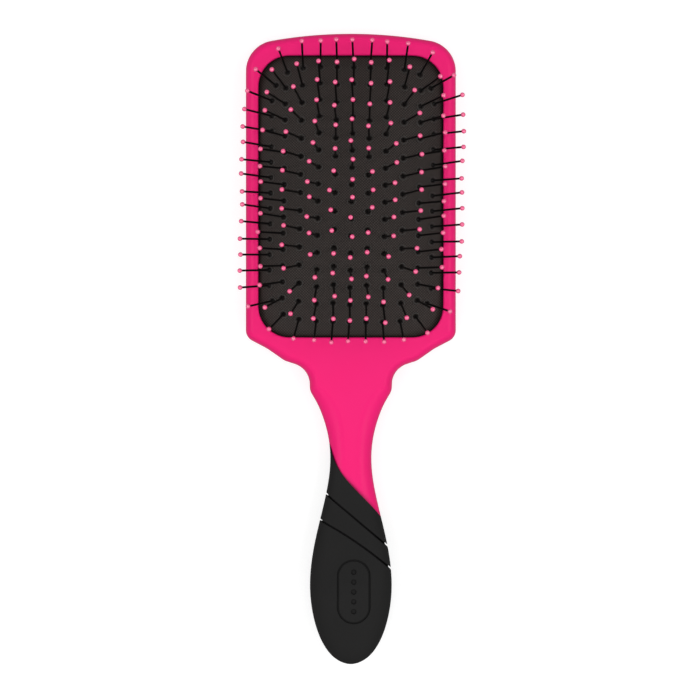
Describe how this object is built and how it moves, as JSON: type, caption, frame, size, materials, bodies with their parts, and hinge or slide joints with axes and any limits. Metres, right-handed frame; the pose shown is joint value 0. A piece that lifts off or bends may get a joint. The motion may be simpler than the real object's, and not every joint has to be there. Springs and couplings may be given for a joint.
{
  "type": "paddle hair brush",
  "caption": "Flat paddle hair brush: square-shouldered head with a domed rubber cushion of ball-tipped pins, necked handle with a slanted rubber grip.",
  "frame": {"origin": "under the centre of the cushion, on the plane the brush's back rests on", "axes": "+Z the way the pins point; +Y from the handle to the head's far end; +X to the right seen from the pin side"},
  "size_m": [0.094, 0.2649, 0.0448],
  "materials": {
    "paddle": "satin, smooth moulded",
    "grip": "matt, soft-touch",
    "cushion": "matt, fine cross-hatched",
    "pins": "semi-gloss nylon",
    "tips": "glossy, dipped"
  },
  "bodies": {
    "brush": {"paddle": "paddle", "handle_grip": "grip", "cushion": "cushion"},
    "pins_ring_6": {"pins_ring_6_handle_end": "pins", "pins_ring_6_head_end": "pins", "tips_ring_6_handle_end": "tips", "tips_ring_6_head_end": "tips"},
    "pins_ring_5": {"pins_ring_5_handle_end": "pins", "pins_ring_5_head_end": "pins", "pins_ring_5_left": "pins", "pins_ring_5_right": "pins", "tips_ring_5_handle_end": "tips", "tips_ring_5_head_end": "tips", "tips_ring_5_left": "tips", "tips_ring_5_right": "tips"},
    "pins_ring_4": {"pins_ring_4_handle_end": "pins", "pins_ring_4_head_end": "pins", "pins_ring_4_left": "pins", "pins_ring_4_right": "pins", "tips_ring_4_handle_end": "tips", "tips_ring_4_head_end": "tips", "tips_ring_4_left": "tips", "tips_ring_4_right": "tips"},
    "pins_ring_3": {"pins_ring_3_handle_end": "pins", "pins_ring_3_head_end": "pins", "pins_ring_3_left": "pins", "pins_ring_3_right": "pins", "tips_ring_3_handle_end": "tips", "tips_ring_3_head_end": "tips", "tips_ring_3_left": "tips", "tips_ring_3_right": "tips"},
    "pins_ring_2": {"pins_ring_2_handle_end": "pins", "pins_ring_2_head_end": "pins", "pins_ring_2_left": "pins", "pins_ring_2_right": "pins", "tips_ring_2_handle_end": "tips", "tips_ring_2_head_end": "tips", "tips_ring_2_left": "tips", "tips_ring_2_right": "tips"},
    "pins_ring_1": {"pins_ring_1_handle_end": "pins", "pins_ring_1_head_end": "pins", "pins_ring_1_left": "pins", "pins_ring_1_right": "pins", "tips_ring_1_handle_end": "tips", "tips_ring_1_head_end": "tips", "tips_ring_1_left": "tips", "tips_ring_1_right": "tips"}
  },
  "joints": [
    {"name": "press_middle", "type": "slide", "parent": "brush", "child": "pins_ring_6", "axis": [0, 0, -1], "range_m": [0, 0.004], "stiffness_N_per_m": 600, "deforming": ["cushion"]},
    {"name": "press_ring_5", "type": "slide", "parent": "brush", "child": "pins_ring_5", "axis": [0, 0, -1], "range_m": [0, 0.00387], "stiffness_N_per_m": 600},
    {"name": "press_ring_4", "type": "slide", "parent": "brush", "child": "pins_ring_4", "axis": [0, 0, -1], "range_m": [0, 0.0035], "stiffness_N_per_m": 600},
    {"name": "press_ring_3", "type": "slide", "parent": "brush", "child": "pins_ring_3", "axis": [0, 0, -1], "range_m": [0, 0.00286], "stiffness_N_per_m": 600},
    {"name": "press_ring_2", "type": "slide", "parent": "brush", "child": "pins_ring_2", "axis": [0, 0, -1], "range_m": [0, 0.00197], "stiffness_N_per_m": 600},
    {"name": "press_ring_1", "type": "slide", "parent": "brush", "child": "pins_ring_1", "axis": [0, 0, -1], "range_m": [0, 0.001], "stiffness_N_per_m": 600}
  ],
  "couplings": [
    {"joint": "press_ring_5", "follows": "press_middle", "ratio": 0.966},
    {"joint": "press_ring_4", "follows": "press_middle", "ratio": 0.873},
    {"joint": "press_ring_3", "follows": "press_middle", "ratio": 0.713},
    {"joint": "press_ring_2", "follows": "press_middle", "ratio": 0.492},
    {"joint": "press_ring_1", "follows": "press_middle", "ratio": 0.249}
  ]
}
